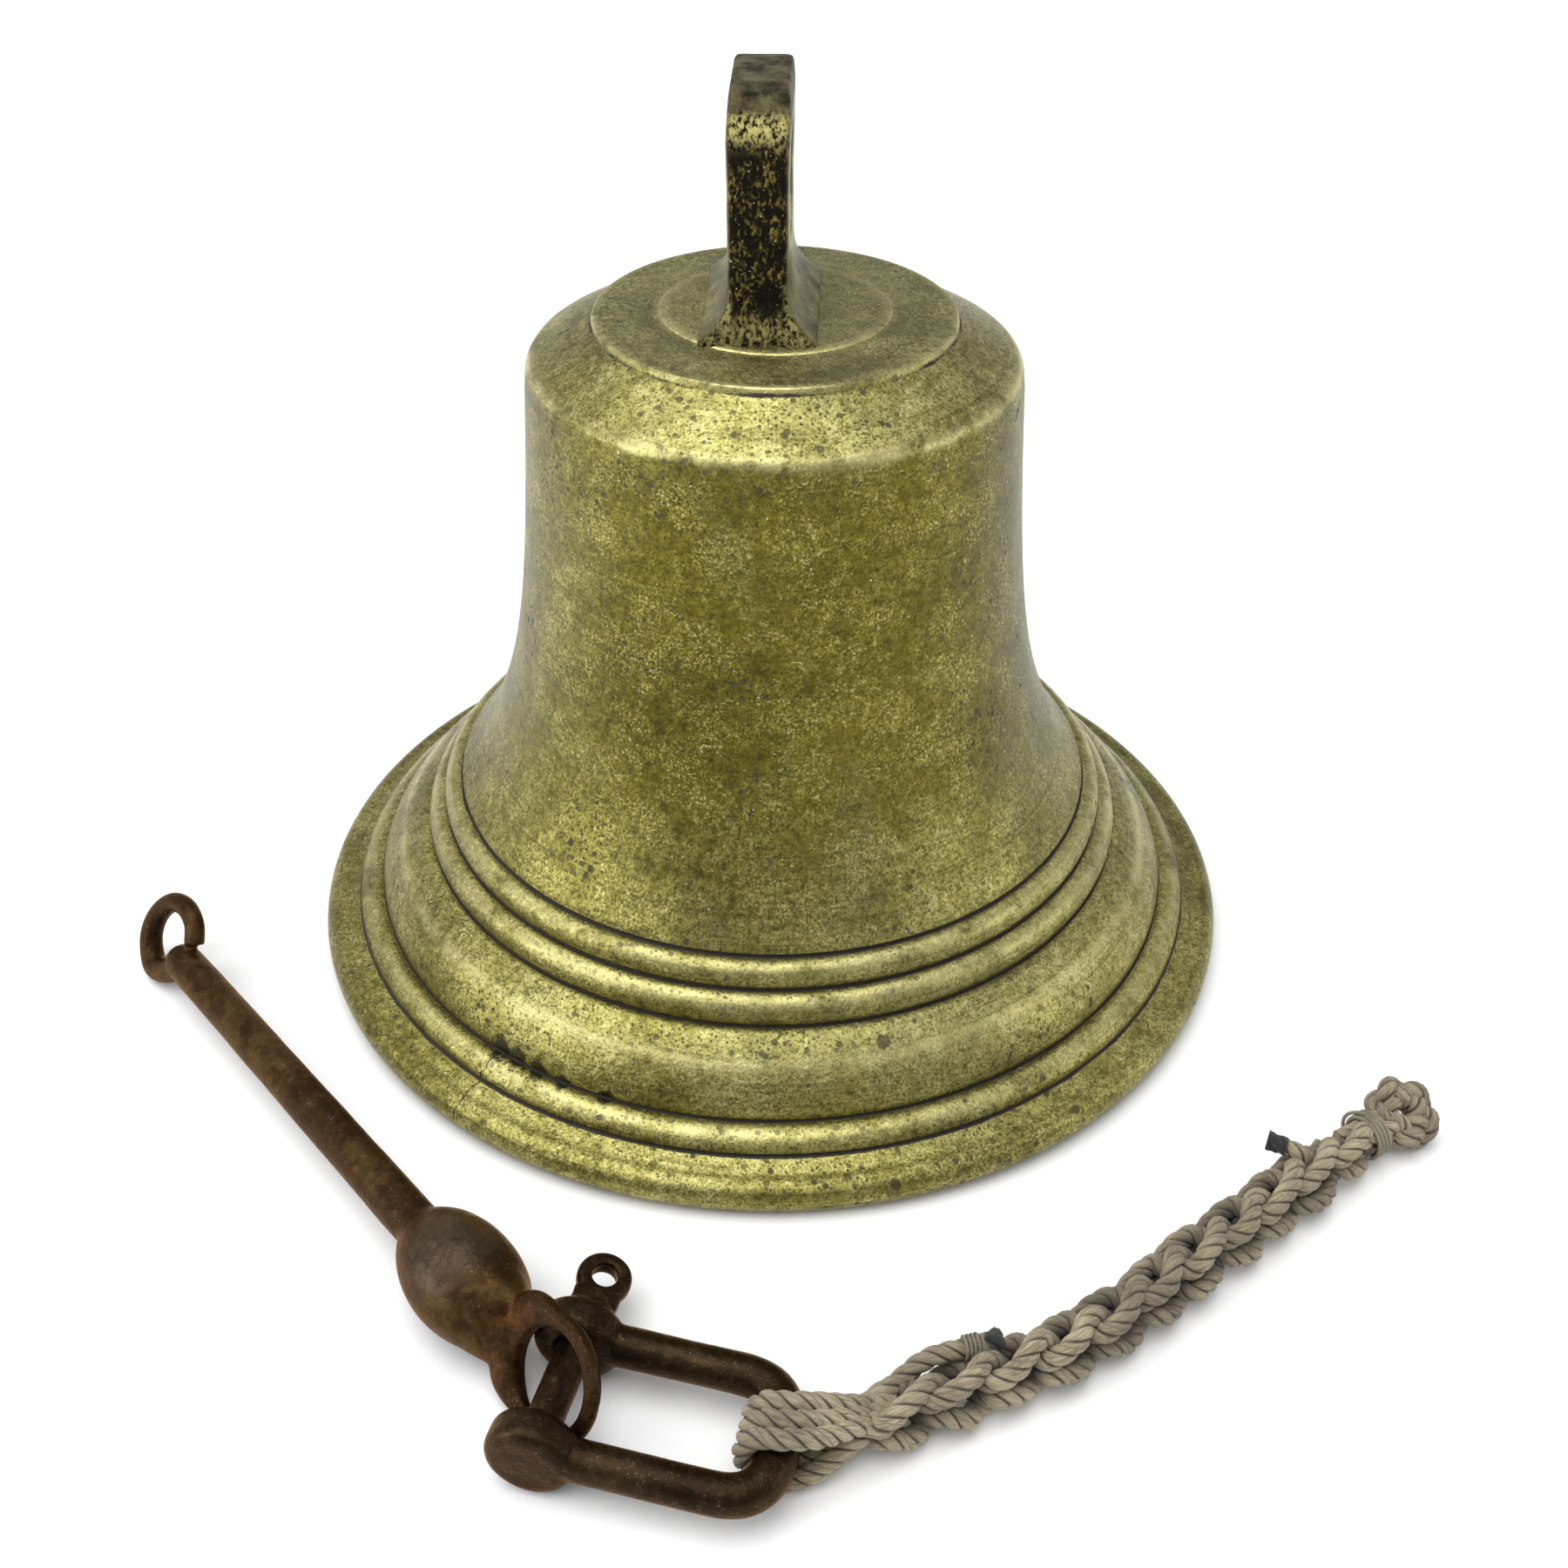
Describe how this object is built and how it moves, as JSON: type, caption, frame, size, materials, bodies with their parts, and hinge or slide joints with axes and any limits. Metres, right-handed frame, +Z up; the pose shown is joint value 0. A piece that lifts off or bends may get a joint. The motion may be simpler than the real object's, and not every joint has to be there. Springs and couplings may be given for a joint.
{
  "type": "ship bell",
  "caption": "Brass ship bell with a cast hanging lug, an iron clapper lying beside it, and a plaited rope lanyard joined to the clapper by a screw pin shackle.",
  "frame": {"origin": "middle of the underside of the bell, clapper and shackle together, on the surface that they stand on", "axes": "+Z up along the bell's axis, +Y from the clapper towards the bell and along the lug's length, +X to the right with the lanyard"},
  "size_m": [0.403, 0.3992, 0.2751],
  "materials": {
    "bell": "aged, dull polish",
    "clapper_staple": "rusted",
    "clapper": "rusted, worn on the ball",
    "shackle_bow": "rusted",
    "shackle_pin": "rusted",
    "lanyard_bight": "laid cord",
    "lanyard_braid": "plaited laid cord",
    "lanyard_end_eye": "plaited laid cord",
    "lanyard_end_whipping": "twine",
    "lanyard_tail_whipped": "laid cord, burnt at the cut",
    "lanyard_tail_whipping": "twine",
    "lanyard_tail_burnt": "burnt cord"
  },
  "bodies": {
    "bell": {"bell": "bell", "clapper_staple": "clapper_staple"},
    "clapper": {"clapper": "clapper"},
    "shackle": {"shackle_bow": "shackle_bow"},
    "pin": {"shackle_pin": "shackle_pin"},
    "lanyard": {"lanyard_bight": "lanyard_bight", "lanyard_braid": "lanyard_braid", "lanyard_end_eye": "lanyard_end_eye", "lanyard_end_whipping": "lanyard_end_whipping", "lanyard_tail_whipped": "lanyard_tail_whipped", "lanyard_tail_whipping": "lanyard_tail_whipping", "lanyard_tail_burnt": "lanyard_tail_burnt"}
  },
  "joints": [
    {"name": "clapper_lift", "type": "slide", "parent": "bell", "child": "clapper", "axis": [0, 0, 1], "range_m": [0, 0.3]},
    {"name": "shackle_swing", "type": "hinge", "parent": "clapper", "child": "shackle", "pos_m": [-0.0236, -0.16596, 0.01165], "axis": [-0.247, -0.969, 0], "range_deg": [0, 65]},
    {"name": "pin_draw", "type": "slide", "parent": "shackle", "child": "pin", "axis": [0.247, 0.969, 0], "range_m": [0, 0.024]},
    {"name": "lanyard_swing", "type": "hinge", "parent": "shackle", "child": "lanyard", "pos_m": [0.03279, -0.1793, 0.01165], "axis": [-0.19, -0.9818, 0], "range_deg": [0, 80]}
  ]
}
